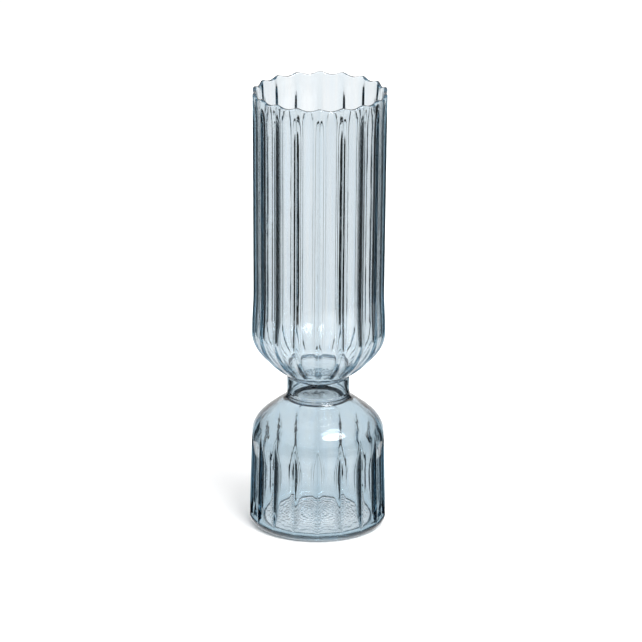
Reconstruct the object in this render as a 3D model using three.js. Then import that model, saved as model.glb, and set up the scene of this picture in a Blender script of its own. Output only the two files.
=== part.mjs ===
// Glass bud vase: a tall fluted cup and a fluted bulb fused to a short plain neck.
// Millimetres, +Z up, origin at the centre of the foot, on the surface it stands on.
import * as THREE from 'three';

// Ribs. One crest faces -Y, and the flutes between the crests are wide and shallow.
const RIB_COUNT = 18;
const STEPS_PER_RIB = 6;
const RIBBED_STEPS = RIB_COUNT * STEPS_PER_RIB;
const PLAIN_STEPS = 48;
const FLUTE_FLATNESS = 0.4;
const FLUTE_DEPTH = 1.6;
const INSIDE_FLUTE_SHARE = 0.1;
const RIM_FLUTE_SHARE = 0.45;

// Heights above the foot.
const VASE_HEIGHT = 250;
const CUP_BULGE_Z = 113;
const CUP_WAIST_Z = 137;
const CUP_FOOT_Z = 87;
const NECK_TOP_Z = 89.6;
const NECK_FOOT_Z = 72.4;
const BULB_TOP_Z = 73.4;
const SHOULDER_EDGE_Z = 72.3;
const SHOULDER_FOOT_Z = 47.2;
const RIBS_TOP_Z = 57.2;
const RIBS_FULL_Z = 39.2;
const HEEL_RIBS_FULL_Z = 14;
const HEEL_RIBS_FOOT_Z = 2.5;
const HEEL_TOP_Z = 6;

// Radii over the rib crests.
const RIM_R = 37.3;
const CUP_BULGE_R = 37.3;
const CUP_WAIST_R = 36.5;
const CUP_FOOT_R = 18.2;
const NECK_R = 17.3;
const SHOULDER_EDGE_R = 19.8;
const BULB_TOP_R = 18.7;
const SHOULDER_FOOT_R = 37.2;
const BULB_R = 38;

// Glass thickness, measured at a rib crest, and the gap left where the real glass is fused.
const CUP_WALL = 3;
const CUP_FLOOR_WALL = 3.4;
const BULB_WALL = 3.4;
const BULB_NECK_WALL = 1.8;
const NECK_BORE_R = 14.9;
const FUSED_GAP = 0.3;
const SOCKET_R = NECK_R + FUSED_GAP;
const CUP_SOCKET_DEPTH = 4.8;

// Rim bead and the scallops that the ribs raise in it.
const BEAD_R = 1.15;
const BEAD_SIDES = 8;
const SCALLOP = 1.4;

// Heel and base.
const HEEL_R = 5.5;
const BASE_R = 30.7;
const BASE_THICKNESS = 3;
const PUSH_UP = 1.4;
const PUSH_UP_R = 23;
const RIPPLE_PITCH = 3.6;
const RIPPLE_HEIGHT = 0.3;

const cupGlass = { color: 0xc3d2db, roughness: 0.04, opacity: 0.45 };
const bulbGlass = { color: 0xa9c0cd, roughness: 0.04, opacity: 0.5 };
const seamGlass = { color: 0x8ea9b8, roughness: 0.06, opacity: 0.6 };

// 0 on a rib's crest, 1 in the middle of the flute between two ribs.
function fluteAt(angle) {
  const phase = RIB_COUNT * angle;
  return (1 - Math.cos(phase)) / 2 + FLUTE_FLATNESS * (1 - Math.cos(2 * phase)) / 2;
}

// A profile point: radius and height over a crest, how far a flute cuts in, and how far it drops.
function point(r, z, depth = 0, drop = 0) {
  return { r, z, depth, drop };
}

function glass(look) {
  return new THREE.MeshStandardMaterial({ metalness: 0, transparent: true, ...look });
}

// Turns a closed profile about Z and presses the flutes into it.
function turned(name, profile, look, steps) {
  const outline = profile.map((p) => new THREE.Vector2(p.r, p.z));
  const geometry = new THREE.LatheGeometry(outline, steps);
  const position = geometry.attributes.position;
  for (let i = 0; i < position.count; i += 1) {
    const p = profile[i % profile.length];
    const angle = Math.atan2(position.getX(i), position.getZ(i));
    const flute = fluteAt(angle);
    const r = p.r - p.depth * flute;
    position.setXYZ(i, r * Math.sin(angle), p.z - p.drop * flute, r * Math.cos(angle));
  }
  geometry.rotateX(Math.PI / 2);
  geometry.computeVertexNormals();
  const mesh = new THREE.Mesh(geometry, glass(look));
  mesh.name = name;
  return mesh;
}

function curvePoints(curves) {
  const path = new THREE.CurvePath();
  curves.forEach(([curve]) => path.add(curve));
  const points = curves.flatMap(([curve, divisions]) => curve.getPoints(divisions).slice(1));
  return [path.curves[0].getPoint(0), ...points];
}

// The inside of a wall: the outside line moved in along its own normal.
function offsetInward(points, wallAt) {
  return points.map((p, i) => {
    const before = points[Math.max(i - 1, 0)];
    const after = points[Math.min(i + 1, points.length - 1)];
    const along = after.clone().sub(before).normalize();
    return new THREE.Vector2(p.x - along.y * wallAt(p), p.y + along.x * wallAt(p));
  });
}

function closed(points) {
  return [...points, points[0]];
}

function smooth(from, to, value) {
  return THREE.MathUtils.smoothstep(value, from, to);
}

function v(r, z) {
  return new THREE.Vector2(r, z);
}

// Upper cup: a rounded bowl that swells to a bulge, then a near-straight fluted wall.
const CUP_TOP_Z = VASE_HEIGHT - 2 * BEAD_R - FUSED_GAP;

function cupFlute({ x, y }) {
  const fade = THREE.MathUtils.lerp(1, RIM_FLUTE_SHARE, smooth(CUP_TOP_Z - 13, CUP_TOP_Z - 2, y));
  return FLUTE_DEPTH * fade * smooth(NECK_R + 0.7, NECK_R + 9, x);
}

function cupWall({ y }) {
  const wall = THREE.MathUtils.lerp(CUP_FLOOR_WALL, CUP_WALL, smooth(CUP_FOOT_Z, CUP_WAIST_Z, y));
  return THREE.MathUtils.lerp(wall, 2 * BEAD_R, smooth(CUP_TOP_Z - 12, CUP_TOP_Z, y));
}

function upperCup() {
  const bowl = new THREE.CubicBezierCurve(
    v(CUP_FOOT_R, CUP_FOOT_Z),
    v(CUP_FOOT_R + 11.6, CUP_FOOT_Z + 7.8),
    v(CUP_BULGE_R, CUP_BULGE_Z - 10),
    v(CUP_BULGE_R, CUP_BULGE_Z),
  );
  const waist = new THREE.CubicBezierCurve(
    v(CUP_BULGE_R, CUP_BULGE_Z),
    v(CUP_BULGE_R, CUP_BULGE_Z + 7),
    v(CUP_WAIST_R, CUP_WAIST_Z - 10),
    v(CUP_WAIST_R, CUP_WAIST_Z),
  );
  const wall = new THREE.LineCurve(v(CUP_WAIST_R, CUP_WAIST_Z), v(RIM_R, CUP_TOP_Z));
  const outside = curvePoints([[bowl, 8], [waist, 3], [wall, 5]]);
  const inside = offsetInward(outside.slice(1), cupWall);
  inside[inside.length - 1].y = CUP_TOP_Z;
  const topDrop = (z) => SCALLOP * smooth(CUP_TOP_Z - 30, CUP_TOP_Z, z);
  return turned('upper_cup', closed([
    ...outside.map((p) => point(p.x, p.y, cupFlute(p), topDrop(p.y))),
    ...inside.reverse().map((p) => point(p.x, p.y, INSIDE_FLUTE_SHARE * cupFlute(p), topDrop(p.y))),
    point(SOCKET_R, CUP_FOOT_Z + CUP_SOCKET_DEPTH),
    point(SOCKET_R, CUP_FOOT_Z),
  ]), cupGlass, RIBBED_STEPS);
}

// Rim bead: the fire-polished lip, a round bead that follows the ribs and rises at each crest.
function rimBead() {
  const centreR = RIM_R - BEAD_R;
  const centreZ = VASE_HEIGHT - BEAD_R;
  const depth = FLUTE_DEPTH * RIM_FLUTE_SHARE * (1 + INSIDE_FLUTE_SHARE) / 2;
  const bead = [];
  for (let side = 0; side < BEAD_SIDES; side += 1) {
    const turn = 2 * Math.PI * side / BEAD_SIDES;
    bead.push(point(centreR + BEAD_R * Math.cos(turn), centreZ + BEAD_R * Math.sin(turn), depth, SCALLOP));
  }
  return turned('rim_bead', closed(bead), cupGlass, RIBBED_STEPS);
}

// Upper weld: the fillet of glass in the corner under the cup, round the top of the neck.
function upperWeld() {
  const top = CUP_FOOT_Z - FUSED_GAP;
  return turned('upper_weld', closed([
    point(SOCKET_R, top - 1.6),
    point(SOCKET_R + 0.4, top - 0.6),
    point(SOCKET_R + 1.3, top),
    point(SOCKET_R, top),
  ]), seamGlass, PLAIN_STEPS);
}

// Neck collar: a short plain tube, let into the holes in the cup's floor and in the bulb's top.
function neckCollar() {
  const middle = (NECK_FOOT_Z + NECK_TOP_Z) / 2;
  return turned('neck_collar', closed([
    point(NECK_BORE_R, NECK_FOOT_Z),
    point(NECK_R, NECK_FOOT_Z),
    point(NECK_R, middle),
    point(NECK_R, NECK_TOP_Z),
    point(NECK_BORE_R, NECK_TOP_Z),
    point(NECK_BORE_R, middle),
  ]), bulbGlass, PLAIN_STEPS);
}

// Lower weld: the fillet of glass on top of the bulb, round the foot of the neck.
function lowerWeld() {
  const foot = BULB_TOP_Z + FUSED_GAP;
  return turned('lower_weld', closed([
    point(SOCKET_R, foot),
    point(BULB_TOP_R - 0.1, foot),
    point(SOCKET_R + 0.4, foot + 1.2),
    point(SOCKET_R, foot + 2.8),
  ]), seamGlass, PLAIN_STEPS);
}

// Lower bulb: a smooth domed shoulder over a fluted wall that widens slightly towards the heel.
function bulbFlute(z) {
  const shoulder = 1 - smooth(RIBS_FULL_Z, RIBS_TOP_Z, z);
  return FLUTE_DEPTH * shoulder * smooth(HEEL_RIBS_FOOT_Z, HEEL_RIBS_FULL_Z, z);
}

function bulbWall({ y }) {
  return THREE.MathUtils.lerp(BULB_WALL, BULB_NECK_WALL, smooth(SHOULDER_FOOT_Z + 8, BULB_TOP_Z, y));
}

function lowerBulb() {
  const foot = new THREE.LineCurve(v(BULB_R, HEEL_TOP_Z), v(BULB_R, HEEL_RIBS_FULL_Z));
  const wall = new THREE.LineCurve(v(BULB_R, HEEL_RIBS_FULL_Z), v(SHOULDER_FOOT_R, SHOULDER_FOOT_Z));
  const dome = new THREE.CubicBezierCurve(
    v(SHOULDER_FOOT_R, SHOULDER_FOOT_Z),
    v(SHOULDER_FOOT_R, SHOULDER_FOOT_Z + 13.5),
    v(SHOULDER_EDGE_R + 12.5, SHOULDER_EDGE_Z - 9.2),
    v(SHOULDER_EDGE_R, SHOULDER_EDGE_Z),
  );
  const outside = curvePoints([[foot, 2], [wall, 4], [dome, 8]]);
  const inside = offsetInward(outside, bulbWall);
  inside[0].y = HEEL_TOP_Z;
  return turned('lower_bulb', closed([
    ...outside.map((p) => point(p.x, p.y, bulbFlute(p.y))),
    point(BULB_TOP_R, BULB_TOP_Z),
    point(SOCKET_R, BULB_TOP_Z),
    point(SOCKET_R, SHOULDER_EDGE_Z),
    ...inside.reverse().map((p) => point(p.x, p.y, INSIDE_FLUTE_SHARE * bulbFlute(p.y))),
  ]), bulbGlass, RIBBED_STEPS);
}

// Heel ring: the rounded corner between the bulb's wall and the flat base.
function heelRing() {
  const top = HEEL_TOP_Z - FUSED_GAP;
  const innerR = BASE_R + FUSED_GAP;
  const profile = [point(innerR, 0)];
  const arcSteps = 5;
  for (let i = 0; i <= arcSteps; i += 1) {
    const turn = Math.PI / 2 * i / arcSteps;
    const r = BULB_R - HEEL_R + HEEL_R * Math.sin(turn);
    const z = HEEL_R - HEEL_R * Math.cos(turn);
    profile.push(point(r, z, bulbFlute(z)));
  }
  profile.push(point(BULB_R, top, bulbFlute(top)));
  profile.push(point(BULB_R - BULB_WALL, top, INSIDE_FLUTE_SHARE * bulbFlute(top)));
  profile.push(point(innerR, BASE_THICKNESS));
  return turned('heel_ring', closed(profile), bulbGlass, RIBBED_STEPS);
}

// Base disc: flat where it rests, pushed up in the middle, with fine rings on its upper face.
function baseLift(r) {
  return PUSH_UP * (1 + Math.cos(Math.PI * Math.min(r / PUSH_UP_R, 1))) / 2;
}

function baseDisc() {
  const profile = [point(0, PUSH_UP)];
  const steps = 5;
  for (let i = 1; i <= steps; i += 1) {
    const r = PUSH_UP_R * i / steps;
    profile.push(point(r, baseLift(r)));
  }
  profile.push(point(BASE_R, 0));
  profile.push(point(BASE_R, BASE_THICKNESS));
  const rings = Math.floor(BASE_R / RIPPLE_PITCH);
  for (let half = 2 * rings; half >= 1; half -= 1) {
    const r = RIPPLE_PITCH * half / 2;
    const ring = half % 2 === 0 ? 0 : RIPPLE_HEIGHT;
    profile.push(point(r, BASE_THICKNESS + baseLift(r) + ring));
  }
  profile.push(point(0, BASE_THICKNESS + PUSH_UP));
  return turned('base_disc', profile, bulbGlass, PLAIN_STEPS);
}

const vase = new THREE.Group();
vase.add(
  rimBead(),
  upperCup(),
  upperWeld(),
  neckCollar(),
  lowerWeld(),
  lowerBulb(),
  heelRing(),
  baseDisc(),
);

export default vase;
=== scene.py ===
import math

import bmesh
import bpy
import numpy as np
from mathutils import Matrix, Vector


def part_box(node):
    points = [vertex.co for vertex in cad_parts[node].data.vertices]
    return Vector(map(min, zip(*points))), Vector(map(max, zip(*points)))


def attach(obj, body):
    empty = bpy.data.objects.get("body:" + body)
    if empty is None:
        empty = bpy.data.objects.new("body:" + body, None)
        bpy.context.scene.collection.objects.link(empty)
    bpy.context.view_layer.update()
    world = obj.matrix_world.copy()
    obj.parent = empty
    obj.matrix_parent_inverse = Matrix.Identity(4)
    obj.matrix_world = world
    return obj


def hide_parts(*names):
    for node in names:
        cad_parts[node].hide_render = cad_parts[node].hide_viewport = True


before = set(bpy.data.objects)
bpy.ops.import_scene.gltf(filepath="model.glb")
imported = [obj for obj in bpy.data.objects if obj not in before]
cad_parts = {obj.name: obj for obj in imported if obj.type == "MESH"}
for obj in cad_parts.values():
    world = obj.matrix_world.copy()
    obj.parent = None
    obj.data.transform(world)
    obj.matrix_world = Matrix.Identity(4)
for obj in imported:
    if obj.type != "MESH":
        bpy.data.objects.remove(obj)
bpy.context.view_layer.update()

# Outlines are written in millimetres and built in metres.
MM = 0.001

# Ribs: ridges with straight flanks, and wide, slightly hollow flutes between them. The ridges
# soften into waves at the rim. One ridge faces -Y.
RIB_COUNT = 18
STEPS_PER_RIB = 24
RIDGE_CROWDING = 0.75
RIDGE_WIDTH = 0.55
RIDGE_ROUNDING = 0.04
RIM_RIDGE_WIDTH = 0.8
RIM_ROUNDING = 0.5
HOLLOW_SHARE = 0.2
FLUTE_DEPTH = 1.6
INSIDE_SHARE = 0.1
RIM_DEPTH_SHARE = 0.45


def top_of(node):
    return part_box(node)[1].z / MM


def foot_of(node):
    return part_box(node)[0].z / MM


def crest_of(node):
    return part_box(node)[1].y / MM


# Sizes taken from the frame, in millimetres.
VASE_TOP = top_of("rim_bead")
BULGE_R = crest_of("upper_cup")
BULB_R = crest_of("lower_bulb")
NECK_R = crest_of("neck_collar")
CUP_FOOT = foot_of("upper_cup")
NECK_END = top_of("neck_collar")
NECK_FOOT = foot_of("neck_collar")
# The fillet round the neck's foot is part of the bulb, so the bulb reaches a little higher.
BULB_TOP = top_of("lower_bulb") + 0.8

# Sizes of the glass.
SCALLOP = 1.4
RIM_R = BULGE_R
WAIST_R = BULGE_R - 0.8
BULGE_Z = CUP_FOOT + 26
WAIST_Z = CUP_FOOT + 50
BORE_R = NECK_R - 2.4
CUP_WALL = 3.0
FLOOR_WALL = 3.4
BULB_WALL = 3.4
BULB_NECK_WALL = 1.8
LAP = 0.15


# ---- outlines -------------------------------------------------------------------------------

def bezier(a, b, c, d, count):
    """Points along a cubic curve from a to d, without a itself."""
    a, b, c, d = (np.array(p, float) for p in (a, b, c, d))
    points = []
    for i in range(1, count + 1):
        t = i / count
        s = 1 - t
        points.append(s**3 * a + 3 * s * s * t * b + 3 * s * t * t * c + t**3 * d)
    return points


def line(a, b, count):
    a, b = np.array(a, float), np.array(b, float)
    return [a + (b - a) * i / count for i in range(1, count + 1)]


def arc(centre, radius, start, end, count):
    """Points on a circle, with angles in degrees from the outward direction towards up."""
    points = []
    for i in range(count + 1):
        turn = math.radians(start + (end - start) * i / count)
        points.append(np.array(centre) + radius * np.array([math.cos(turn), math.sin(turn)]))
    return points


def offset_inward(points, wall_at):
    """The inside of a wall: the outside line moved in along its own normal."""
    points = np.array(points)
    along = np.gradient(points, axis=0)
    along /= np.linalg.norm(along, axis=1)[:, None]
    inward = np.column_stack([-along[:, 1], along[:, 0]])
    walls = np.array([wall_at(z) for _, z in points])
    return list(points + inward * walls[:, None])


def smooth(low, high, value):
    t = min(max((value - low) / (high - low), 0), 1)
    return t * t * (3 - 2 * t)


# ---- turned, ribbed meshes ------------------------------------------------------------------

def rib_angles():
    """Angles round the vase, closer together on the ridges than in the flutes."""
    share = np.arange(STEPS_PER_RIB) / STEPS_PER_RIB
    turn = 2 * math.pi * share
    share = share - RIDGE_CROWDING * np.sin(turn) / (2 * math.pi)
    ribs = np.arange(RIB_COUNT)[:, None] + share
    return ribs.ravel() * 2 * math.pi / RIB_COUNT


def flute_at(angle, softness):
    """0 on a rib's ridge, 1 in the middle of the flute.

    Softness 1 turns the ridge into a wave, and softness -1 narrows it to nothing.
    """
    rounding = RIDGE_ROUNDING + (RIM_ROUNDING - RIDGE_ROUNDING) * np.maximum(softness, 0)
    width = RIDGE_WIDTH + (RIM_RIDGE_WIDTH - RIDGE_WIDTH) * np.maximum(softness, 0)
    width = width * (1 + 0.9 * np.minimum(softness, 0))

    def flank(across):
        """A straight rise from the ridge that levels off where the flute begins."""
        rise = np.hypot(across, rounding) - rounding
        return rise + width - np.hypot(rise - width, rounding)

    across = np.abs(np.sin(RIB_COUNT * angle / 2))
    ridge = (flank(across) - flank(0)) / (flank(1) - flank(0))
    return (1 - HOLLOW_SHARE) * ridge + HOLLOW_SHARE * across**2


def plain(points):
    """Outline rows without flutes."""
    return [(r, z, 0, 0, 1) for r, z in points]


def turned(name, outline):
    """Turns a closed outline of (r, z, depth, drop, softness) about Z, pressing the flutes in."""
    r, z, depth, drop, softness = np.array(outline, float).T
    angles = rib_angles()
    flute = flute_at(angles[:, None], softness)
    radius = r - depth * flute
    height = z - drop * flute
    x = radius * np.sin(angles)[:, None]
    y = -radius * np.cos(angles)[:, None]
    points = np.stack([x, y, height], axis=-1).reshape(-1, 3) * MM
    count = len(outline)
    faces = []
    for step in range(len(angles)):
        here = step * count
        there = (step + 1) % len(angles) * count
        for j in range(count):
            k = (j + 1) % count
            faces.append((here + j, there + j, there + k, here + k))
    mesh = bpy.data.meshes.new(name)
    mesh.from_pydata(points.tolist(), [], faces)
    work = bmesh.new()
    work.from_mesh(mesh)
    bmesh.ops.remove_doubles(work, verts=work.verts, dist=1e-7)
    bmesh.ops.recalc_face_normals(work, faces=work.faces)
    for face in work.faces:
        face.smooth = True
    work.to_mesh(mesh)
    work.free()
    piece = bpy.data.objects.new(name, mesh)
    bpy.context.scene.collection.objects.link(piece)
    return piece


# ---- glass ----------------------------------------------------------------------------------

class Shader:
    """A short way to add nodes to a tree: numbers are set on sockets and outputs are linked."""

    def __init__(self, tree):
        self.tree = tree

    def add(self, kind, *values, **settings):
        node = self.tree.nodes.new(kind)
        for name, value in settings.items():
            setattr(node, name, value)
        for socket, value in zip(node.inputs, values):
            self.feed(socket, value)
        return node

    def feed(self, socket, value):
        if isinstance(value, bpy.types.NodeSocket):
            self.tree.links.new(value, socket)
        elif value is not None:
            socket.default_value = value

    def math(self, operation, *values):
        return self.add("ShaderNodeMath", *values, operation=operation).outputs[0]

    def noise(self, place, scale, detail):
        node = self.add("ShaderNodeTexNoise", place)
        node.inputs["Scale"].default_value = scale
        node.inputs["Detail"].default_value = detail
        return node.outputs[0]

    def ramp(self, value, low, high, at_low, at_high):
        node = self.add("ShaderNodeMapRange", value, low, high, at_low, at_high,
                        interpolation_type="SMOOTHSTEP")
        return node.outputs[0]


SMOKE_BLUE = (0.0, 0.30, 0.44)
# Marks in the glass: scales of noise per metre, and the two heights between which the wear fades.
STREAK_SCALE = 260
STREAK_STRETCH = 0.07
SPECK_SCALE = 900
SPECK_HEIGHT = 0.12
CLOUD_SCALE = 45
HAZE_ROUGHNESS = 0.05
WORN_ROUGHNESS = 0.3
WORN_FROM = 0.1
WORN_TO = 0.9


def glass(name, density, tint, wave):
    """Glass coloured by its thickness, with the streaks, haze, specks and wear of blown glass.

    Density and tint are those of the absorption, and wave is the streaks' height in millimetres.
    """
    material = bpy.data.materials.new(name)
    material.use_nodes = True
    shader = Shader(material.node_tree)
    surface = material.node_tree.nodes["Principled BSDF"]
    surface.inputs["Transmission Weight"].default_value = 1
    surface.inputs["IOR"].default_value = 1.5
    place = shader.add("ShaderNodeTexCoord").outputs["Object"]
    drawn = shader.add("ShaderNodeMapping", place).outputs[0]
    drawn.node.inputs["Scale"].default_value = (1, 1, STREAK_STRETCH)
    streaks = shader.noise(drawn, STREAK_SCALE, 3)
    specks = shader.ramp(shader.noise(place, SPECK_SCALE, 2), 0.66, 0.74, 0, 1)
    clouds = shader.noise(place, CLOUD_SCALE, 3)
    height = shader.math("MULTIPLY_ADD", specks, SPECK_HEIGHT, streaks)
    bump = shader.add("ShaderNodeBump")
    bump.inputs["Strength"].default_value = 1
    bump.inputs["Distance"].default_value = wave * MM
    shader.feed(bump.inputs["Height"], height)
    shader.feed(surface.inputs["Normal"], bump.outputs[0])
    haze = shader.ramp(clouds, 0.45, 0.8, 0, HAZE_ROUGHNESS)
    above = shader.add("ShaderNodeSeparateXYZ", place).outputs[2]
    worn = shader.ramp(above, WORN_FROM * MM, WORN_TO * MM, WORN_ROUGHNESS, 0)
    shader.feed(surface.inputs["Roughness"], shader.math("MAXIMUM", haze, worn))
    shade = shader.add("ShaderNodeCombineXYZ", shader.ramp(streaks, 0.3, 0.7, 0.95, 1),
                       shader.ramp(streaks, 0.3, 0.7, 0.975, 1), 1)
    shader.feed(surface.inputs["Base Color"], shade.outputs[0])
    volume = shader.add("ShaderNodeVolumeAbsorption", (*tint, 1), density)
    shader.feed(material.node_tree.nodes["Material Output"].inputs["Volume"], volume.outputs[0])
    return material


cup_glass = glass("cup_glass", 80, SMOKE_BLUE, 0.04)
bulb_glass = glass("bulb_glass", 118, SMOKE_BLUE, 0.05)
base_glass = glass("base_glass", 10, SMOKE_BLUE, 0.3)


def finish_piece(piece, material, slot, *nodes):
    piece.data.materials.append(material)
    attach(piece, "root")
    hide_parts(*nodes)
    return piece


# ---- the pieces -----------------------------------------------------------------------------
# The real glass is fused, so each piece laps a little into the next one and hides its seam.

NOSE_R = 1.15
CUP_TOP = VASE_TOP - NOSE_R
SOCKET_R = NECK_R - LAP
CUP_RIBS_START_R = NECK_R + 0.7
CUP_RIBS_FULL_R = NECK_R + 9
RIM_FADE_START = CUP_TOP - 13
RIM_FADE_END = CUP_TOP - 2
THIN_BELOW_RIM = 12
SCALLOP_BELOW_RIM = 30
SOFT_BELOW_RIM = 5


def cup_flute(r, z):
    """The ribs run out towards the neck, and grow fainter below the rim."""
    fade = 1 - (1 - RIM_DEPTH_SHARE) * smooth(RIM_FADE_START, RIM_FADE_END, z)
    return FLUTE_DEPTH * fade * smooth(CUP_RIBS_START_R, CUP_RIBS_FULL_R, r)


def rim_drop(z):
    """How far a flute drops below its crests, so that the rim is scalloped."""
    return SCALLOP * smooth(CUP_TOP - SCALLOP_BELOW_RIM, CUP_TOP, z)


def cup_wall(z):
    wall = FLOOR_WALL + (CUP_WALL - FLOOR_WALL) * smooth(CUP_FOOT, WAIST_Z, z)
    return wall + (2 * NOSE_R - CUP_WALL) * smooth(CUP_TOP - THIN_BELOW_RIM, CUP_TOP, z)


def rim_softness(z):
    """The ridges turn into waves just below the rim."""
    return smooth(CUP_TOP - SOFT_BELOW_RIM, CUP_TOP, z)


def upper_cup():
    """The fluted cup with its rounded rim, and a round floor that closes in on the neck."""
    foot = (NECK_R + 0.6, CUP_FOOT)
    bulge = (BULGE_R, BULGE_Z)
    waist = (WAIST_R, WAIST_Z)
    outside = bezier(foot, (foot[0] + 11.6, foot[1] + 7.8), (BULGE_R, BULGE_Z - 10), bulge, 36)
    outside += bezier(bulge, (BULGE_R, BULGE_Z + 7), (WAIST_R, WAIST_Z - 10), waist, 14)
    outside += line(waist, (RIM_R, CUP_TOP), 24)
    inside = offset_inward(outside, cup_wall)[5:-1]
    outline = plain([(SOCKET_R, CUP_FOOT - 0.3), foot])
    outline += [(r, z, cup_flute(r, z), rim_drop(z), rim_softness(z)) for r, z in outside]
    for r, z in arc((RIM_R - NOSE_R, CUP_TOP), NOSE_R, 0, 180, 14)[1:]:
        across = (r - RIM_R + 2 * NOSE_R) / (2 * NOSE_R)
        depth = cup_flute(r, z) * (INSIDE_SHARE + (1 - INSIDE_SHARE) * across)
        outline.append((r, z, depth, SCALLOP, 1))
    outline += [(r, z, INSIDE_SHARE * cup_flute(r, z), rim_drop(z), 1)
                for r, z in reversed(inside)]
    last = inside[0]
    down = (last - inside[1]) / np.linalg.norm(last - inside[1])
    outline += plain(bezier(last, last + 1.2 * down, (SOCKET_R + 0.8, NECK_END + 0.9),
                            (SOCKET_R, NECK_END), 10))
    return finish_piece(turned("glass_upper_cup", outline), cup_glass, "cup_glass",
                        "upper_cup", "rim_bead")


def neck_collar():
    """A short tube let into the cup's floor and into the bulb, flared inside at both its ends."""
    outline = [(NECK_R, NECK_FOOT)]
    outline += line(outline[0], (NECK_R, NECK_END), 4)
    outline += bezier(outline[-1], (NECK_R - 1.1, NECK_END - 1), (BORE_R, NECK_END - 2.2),
                      (BORE_R, NECK_END - 4.5), 12)
    outline += bezier(outline[-1], (BORE_R, NECK_FOOT + 6), (BORE_R, NECK_FOOT + 4.5),
                      (NECK_R - 1.2, NECK_FOOT + 1.6), 14)
    return finish_piece(turned("glass_neck", plain(outline)), bulb_glass, "neck_glass",
                        "neck_collar")


FILLET = 1.3


def upper_weld():
    """The fillet of glass under the cup, round the top of the neck."""
    low = CUP_FOOT - FILLET
    outline = [(SOCKET_R, low)]
    outline += bezier((SOCKET_R, low), (SOCKET_R + 0.1, CUP_FOOT - 0.5), (NECK_R + 0.4, CUP_FOOT),
                      (NECK_R + FILLET, CUP_FOOT + 0.6), 10)
    outline += [(SOCKET_R, CUP_FOOT + 0.4)]
    return finish_piece(turned("glass_upper_weld", plain(outline)), bulb_glass, "seam_glass",
                        "upper_weld")


def lower_weld():
    """The last thin ring of the fillet on the bulb, round the foot of the neck."""
    foot = BULB_TOP + 0.9
    outline = [(SOCKET_R, foot), (NECK_R + 0.35, foot)]
    outline += bezier(outline[1], (NECK_R + 0.1, foot + 0.8), (NECK_R, foot + 1.2),
                      (SOCKET_R, foot + 2.2), 8)
    return finish_piece(turned("glass_lower_weld", plain(outline)), bulb_glass, "seam_glass",
                        "lower_weld")


DOME_EDGE = (NECK_R + 2.5, BULB_TOP - 1.9)
SHOULDER_R = BULB_R - 0.8
SHOULDER_FOOT = BULB_TOP - 27
RIBS_TOP = BULB_TOP - 17
RIBS_FULL = BULB_TOP - 35
HEEL_R = 5.5
HEEL_RIBS_FOOT = 2.5
HEEL_RIBS_FULL = 14
BASE_THICKNESS = 3.0
BASE_R = crest_of("base_disc")


def bulb_ribs(z):
    """The ribs run out below the shoulder and above the smooth heel."""
    return (1 - smooth(RIBS_FULL, RIBS_TOP, z)) * smooth(HEEL_RIBS_FOOT, HEEL_RIBS_FULL, z)


def bulb_wall(z):
    return BULB_WALL + (BULB_NECK_WALL - BULB_WALL) * smooth(SHOULDER_FOOT + 8, BULB_TOP, z)


def lower_bulb():
    """The fluted bulb, from its round heel up over the smooth shoulder to the neck."""
    outside = arc((BULB_R - HEEL_R, HEEL_R), HEEL_R, -80, 0, 14)
    outside += line(outside[-1], (BULB_R, HEEL_RIBS_FULL), 8)
    outside += line(outside[-1], (SHOULDER_R, SHOULDER_FOOT), 24)
    outside += bezier((SHOULDER_R, SHOULDER_FOOT), (SHOULDER_R, SHOULDER_FOOT + 13.5),
                      (DOME_EDGE[0] + 12.5, DOME_EDGE[1] - 9.2), DOME_EDGE, 40)
    inside = offset_inward(outside, bulb_wall)[12:]
    first, last = inside[0], inside[-1]
    outside += bezier(DOME_EDGE, (DOME_EDGE[0] - 1.4, DOME_EDGE[1] + 1), (NECK_R + 0.5, BULB_TOP),
                      (NECK_R + 0.35, BULB_TOP + 1), 10)
    outline = plain([(BASE_R, 0)])
    outline += [(r, z, FLUTE_DEPTH * bulb_ribs(z), 0, bulb_ribs(z) - 1) for r, z in outside]
    outline += plain([(SOCKET_R, BULB_TOP + 1), (SOCKET_R, last[1] + 1.3)])
    outline += [(r, z, INSIDE_SHARE * FLUTE_DEPTH * bulb_ribs(z), 0, 1)
                for r, z in reversed(inside)]
    outline += plain(bezier(first, (first[0], first[1] - 1.6), (BASE_R + 1.8, BASE_THICKNESS),
                            (BASE_R, BASE_THICKNESS), 10))
    return finish_piece(turned("glass_lower_bulb", outline), bulb_glass, "bulb_glass",
                        "lower_bulb", "heel_ring")


PUSH_UP = 1.4
PUSH_UP_R = 23
RIPPLE_PITCH = 3.6
RIPPLE_HEIGHT = 0.28
RIPPLE_SCALLOP = 1.8
RIPPLE_FREE_EDGE = 3


def base_disc():
    """The thick base: pushed up a little below, with fine rings pressed into its upper face."""
    edge = BASE_R + LAP
    steps = 150

    def lift(r):
        return PUSH_UP * (1 + math.cos(math.pi * min(r / PUSH_UP_R, 1))) / 2

    outline = plain([(edge * i / 24, lift(edge * i / 24)) for i in range(25)])
    for i in range(steps, -1, -1):
        r = edge * i / steps
        inner = smooth(edge, edge - RIPPLE_FREE_EDGE, r)
        ring = RIPPLE_HEIGHT * (1 - math.cos(2 * math.pi * r / RIPPLE_PITCH)) / 2
        scallop = RIPPLE_SCALLOP * inner * r / edge
        outline.append((r, BASE_THICKNESS + lift(r) + ring * inner, scallop, 0, 1))
    return finish_piece(turned("glass_base", outline), base_glass, "base_glass", "base_disc")


upper_cup()
upper_weld()
neck_collar()
lower_weld()
lower_bulb()
base_disc()


# ---- studio ---------------------------------------------------------------------------------

FLOOR_RADIUS = 0.9


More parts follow.
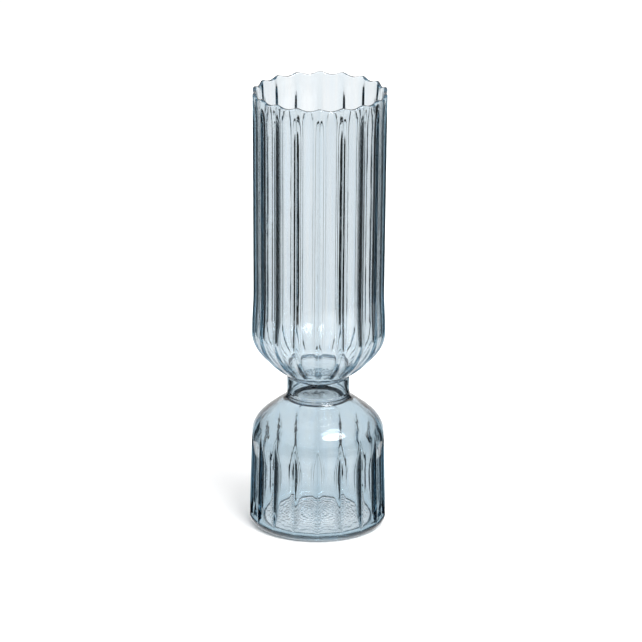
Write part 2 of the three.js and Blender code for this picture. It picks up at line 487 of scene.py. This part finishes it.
def studio_floor():
    work = bmesh.new()
    bmesh.ops.create_circle(work, cap_ends=True, segments=96, radius=FLOOR_RADIUS)
    mesh = bpy.data.meshes.new("floor")
    work.to_mesh(mesh)
    work.free()
    floor = bpy.data.objects.new("floor", mesh)
    bpy.context.scene.collection.objects.link(floor)
    material = bpy.data.materials.new("floor_paint")
    material.use_nodes = True
    surface = material.node_tree.nodes["Principled BSDF"]
    surface.inputs["Base Color"].default_value = (0.9, 0.9, 0.9, 1)
    surface.inputs["Roughness"].default_value = 0.9
    mesh.materials.append(material)
    floor.visible_transmission = False
    floor.visible_glossy = False


# A white tent with black flags at both sides of each view, ring by ring. Each ring has its lowest
# and highest elevation, and its flags as (first, last) azimuth, in degrees from +Y towards +X.
# The softbox is an oval: its azimuth and elevation, and how far it reaches each way.
FLAGS = (
    (-28, -21.6, ((40, 287),)),
    (-21.6, -17.4, ((23, 337),)),
    (-17.4, -15.8, ((28, 107), (163, 332))),
    (-15.8, -9, ((30, 107), (163, 330))),
    (-9, 9, ((28, 242), (-62, -28))),
)
RING_EDGE = 0.4
FLAG_EDGE = 3
TENT_LIGHT = 1.1
FLAG_LIGHT = 0.02
BACKDROP_LIGHT = 1.05
SOFTBOX_AT = (143, 49)
SOFTBOX_REACH = (28, 12)
SOFTBOX_LIGHT = 14


def band(shader, value, low, high, edge):
    """1 between low and high, 0 outside, with soft edges."""
    rise = shader.ramp(value, low - edge, low + edge, 0, 1)
    fall = shader.ramp(value, high - edge, high + edge, 1, 0)
    return shader.math("MULTIPLY", rise, fall)


def world_light():
    """A white tent with black flags, a softbox overhead, and a plain white backdrop."""
    world = bpy.data.worlds.new("studio")
    world.use_nodes = True
    bpy.context.scene.world = world
    shader = Shader(world.node_tree)
    toward = shader.add("ShaderNodeTexCoord").outputs["Generated"]
    split = shader.add("ShaderNodeSeparateXYZ", toward)
    azimuth = shader.math("DEGREES", shader.math("ARCTAN2", split.outputs[0], split.outputs[1]))
    elevation = shader.math("DEGREES", shader.math("ARCSINE", split.outputs[2]))
    light = TENT_LIGHT
    for low, high, flags in FLAGS:
        ring = band(shader, elevation, low, high, RING_EDGE)
        for first, last in flags:
            middle = (first + last) / 2
            offset = shader.math("WRAP", shader.math("SUBTRACT", azimuth, middle), 180, -180)
            flag = band(shader, offset, first - middle, last - middle, FLAG_EDGE)
            share = shader.math("MULTIPLY", ring, flag)
            light = shader.math("MULTIPLY_ADD", share, FLAG_LIGHT - TENT_LIGHT, light)
    across = shader.math("WRAP", shader.math("SUBTRACT", azimuth, SOFTBOX_AT[0]), 180, -180)
    across = shader.math("POWER", shader.math("DIVIDE", across, SOFTBOX_REACH[0]), 2)
    up = shader.math("DIVIDE", shader.math("SUBTRACT", elevation, SOFTBOX_AT[1]), SOFTBOX_REACH[1])
    away = shader.math("MULTIPLY_ADD", up, up, across)
    light = shader.math("ADD", light, shader.ramp(away, 0.8, 1.2, SOFTBOX_LIGHT, 0))
    seen = shader.add("ShaderNodeLightPath").outputs["Is Camera Ray"]
    strength = shader.add("ShaderNodeMix", seen, None, light, BACKDROP_LIGHT, data_type="FLOAT")
    background = world.node_tree.nodes["Background"]
    background.inputs["Color"].default_value = (1, 1, 1, 1)
    shader.feed(background.inputs["Strength"], strength.outputs[0])


# The camera looks down at the vase's front: metres, degrees, and millimetres of lens. Its aim is a
# little to the right of the axis and below the middle of the vase.
CAMERA_DISTANCE = 3.5
CAMERA_ELEVATION = 18.85
CAMERA_LENS = 356.2
CAMERA_ROLL = 0.36
AIM_RIGHT = 0.0013
AIM_BELOW = 0.008


def camera():
    middle = VASE_TOP * MM / 2
    elevation = math.radians(CAMERA_ELEVATION)
    data = bpy.data.cameras.new("camera")
    data.sensor_width = 36
    data.lens = CAMERA_LENS
    data.clip_end = 20
    back = CAMERA_DISTANCE * math.cos(elevation)
    up = CAMERA_DISTANCE * math.sin(elevation)
    eye = Vector((0, -back, middle + up))
    aim = Vector((AIM_RIGHT, 0, middle - AIM_BELOW))
    look = (aim - eye).to_track_quat("-Z", "Y").to_matrix().to_4x4()
    roll = Matrix.Rotation(math.radians(CAMERA_ROLL), 4, "Z")
    piece = bpy.data.objects.new("camera", data)
    piece.matrix_world = Matrix.Translation(eye) @ look @ roll
    bpy.context.scene.collection.objects.link(piece)
    bpy.context.scene.camera = piece


studio_floor()
world_light()
camera()

scene = bpy.context.scene
scene.view_settings.view_transform = "Standard"
scene.cycles.use_denoising = True
scene.cycles.max_bounces = 32
scene.cycles.transmission_bounces = 32
scene.cycles.glossy_bounces = 16
scene.cycles.volume_bounces = 0
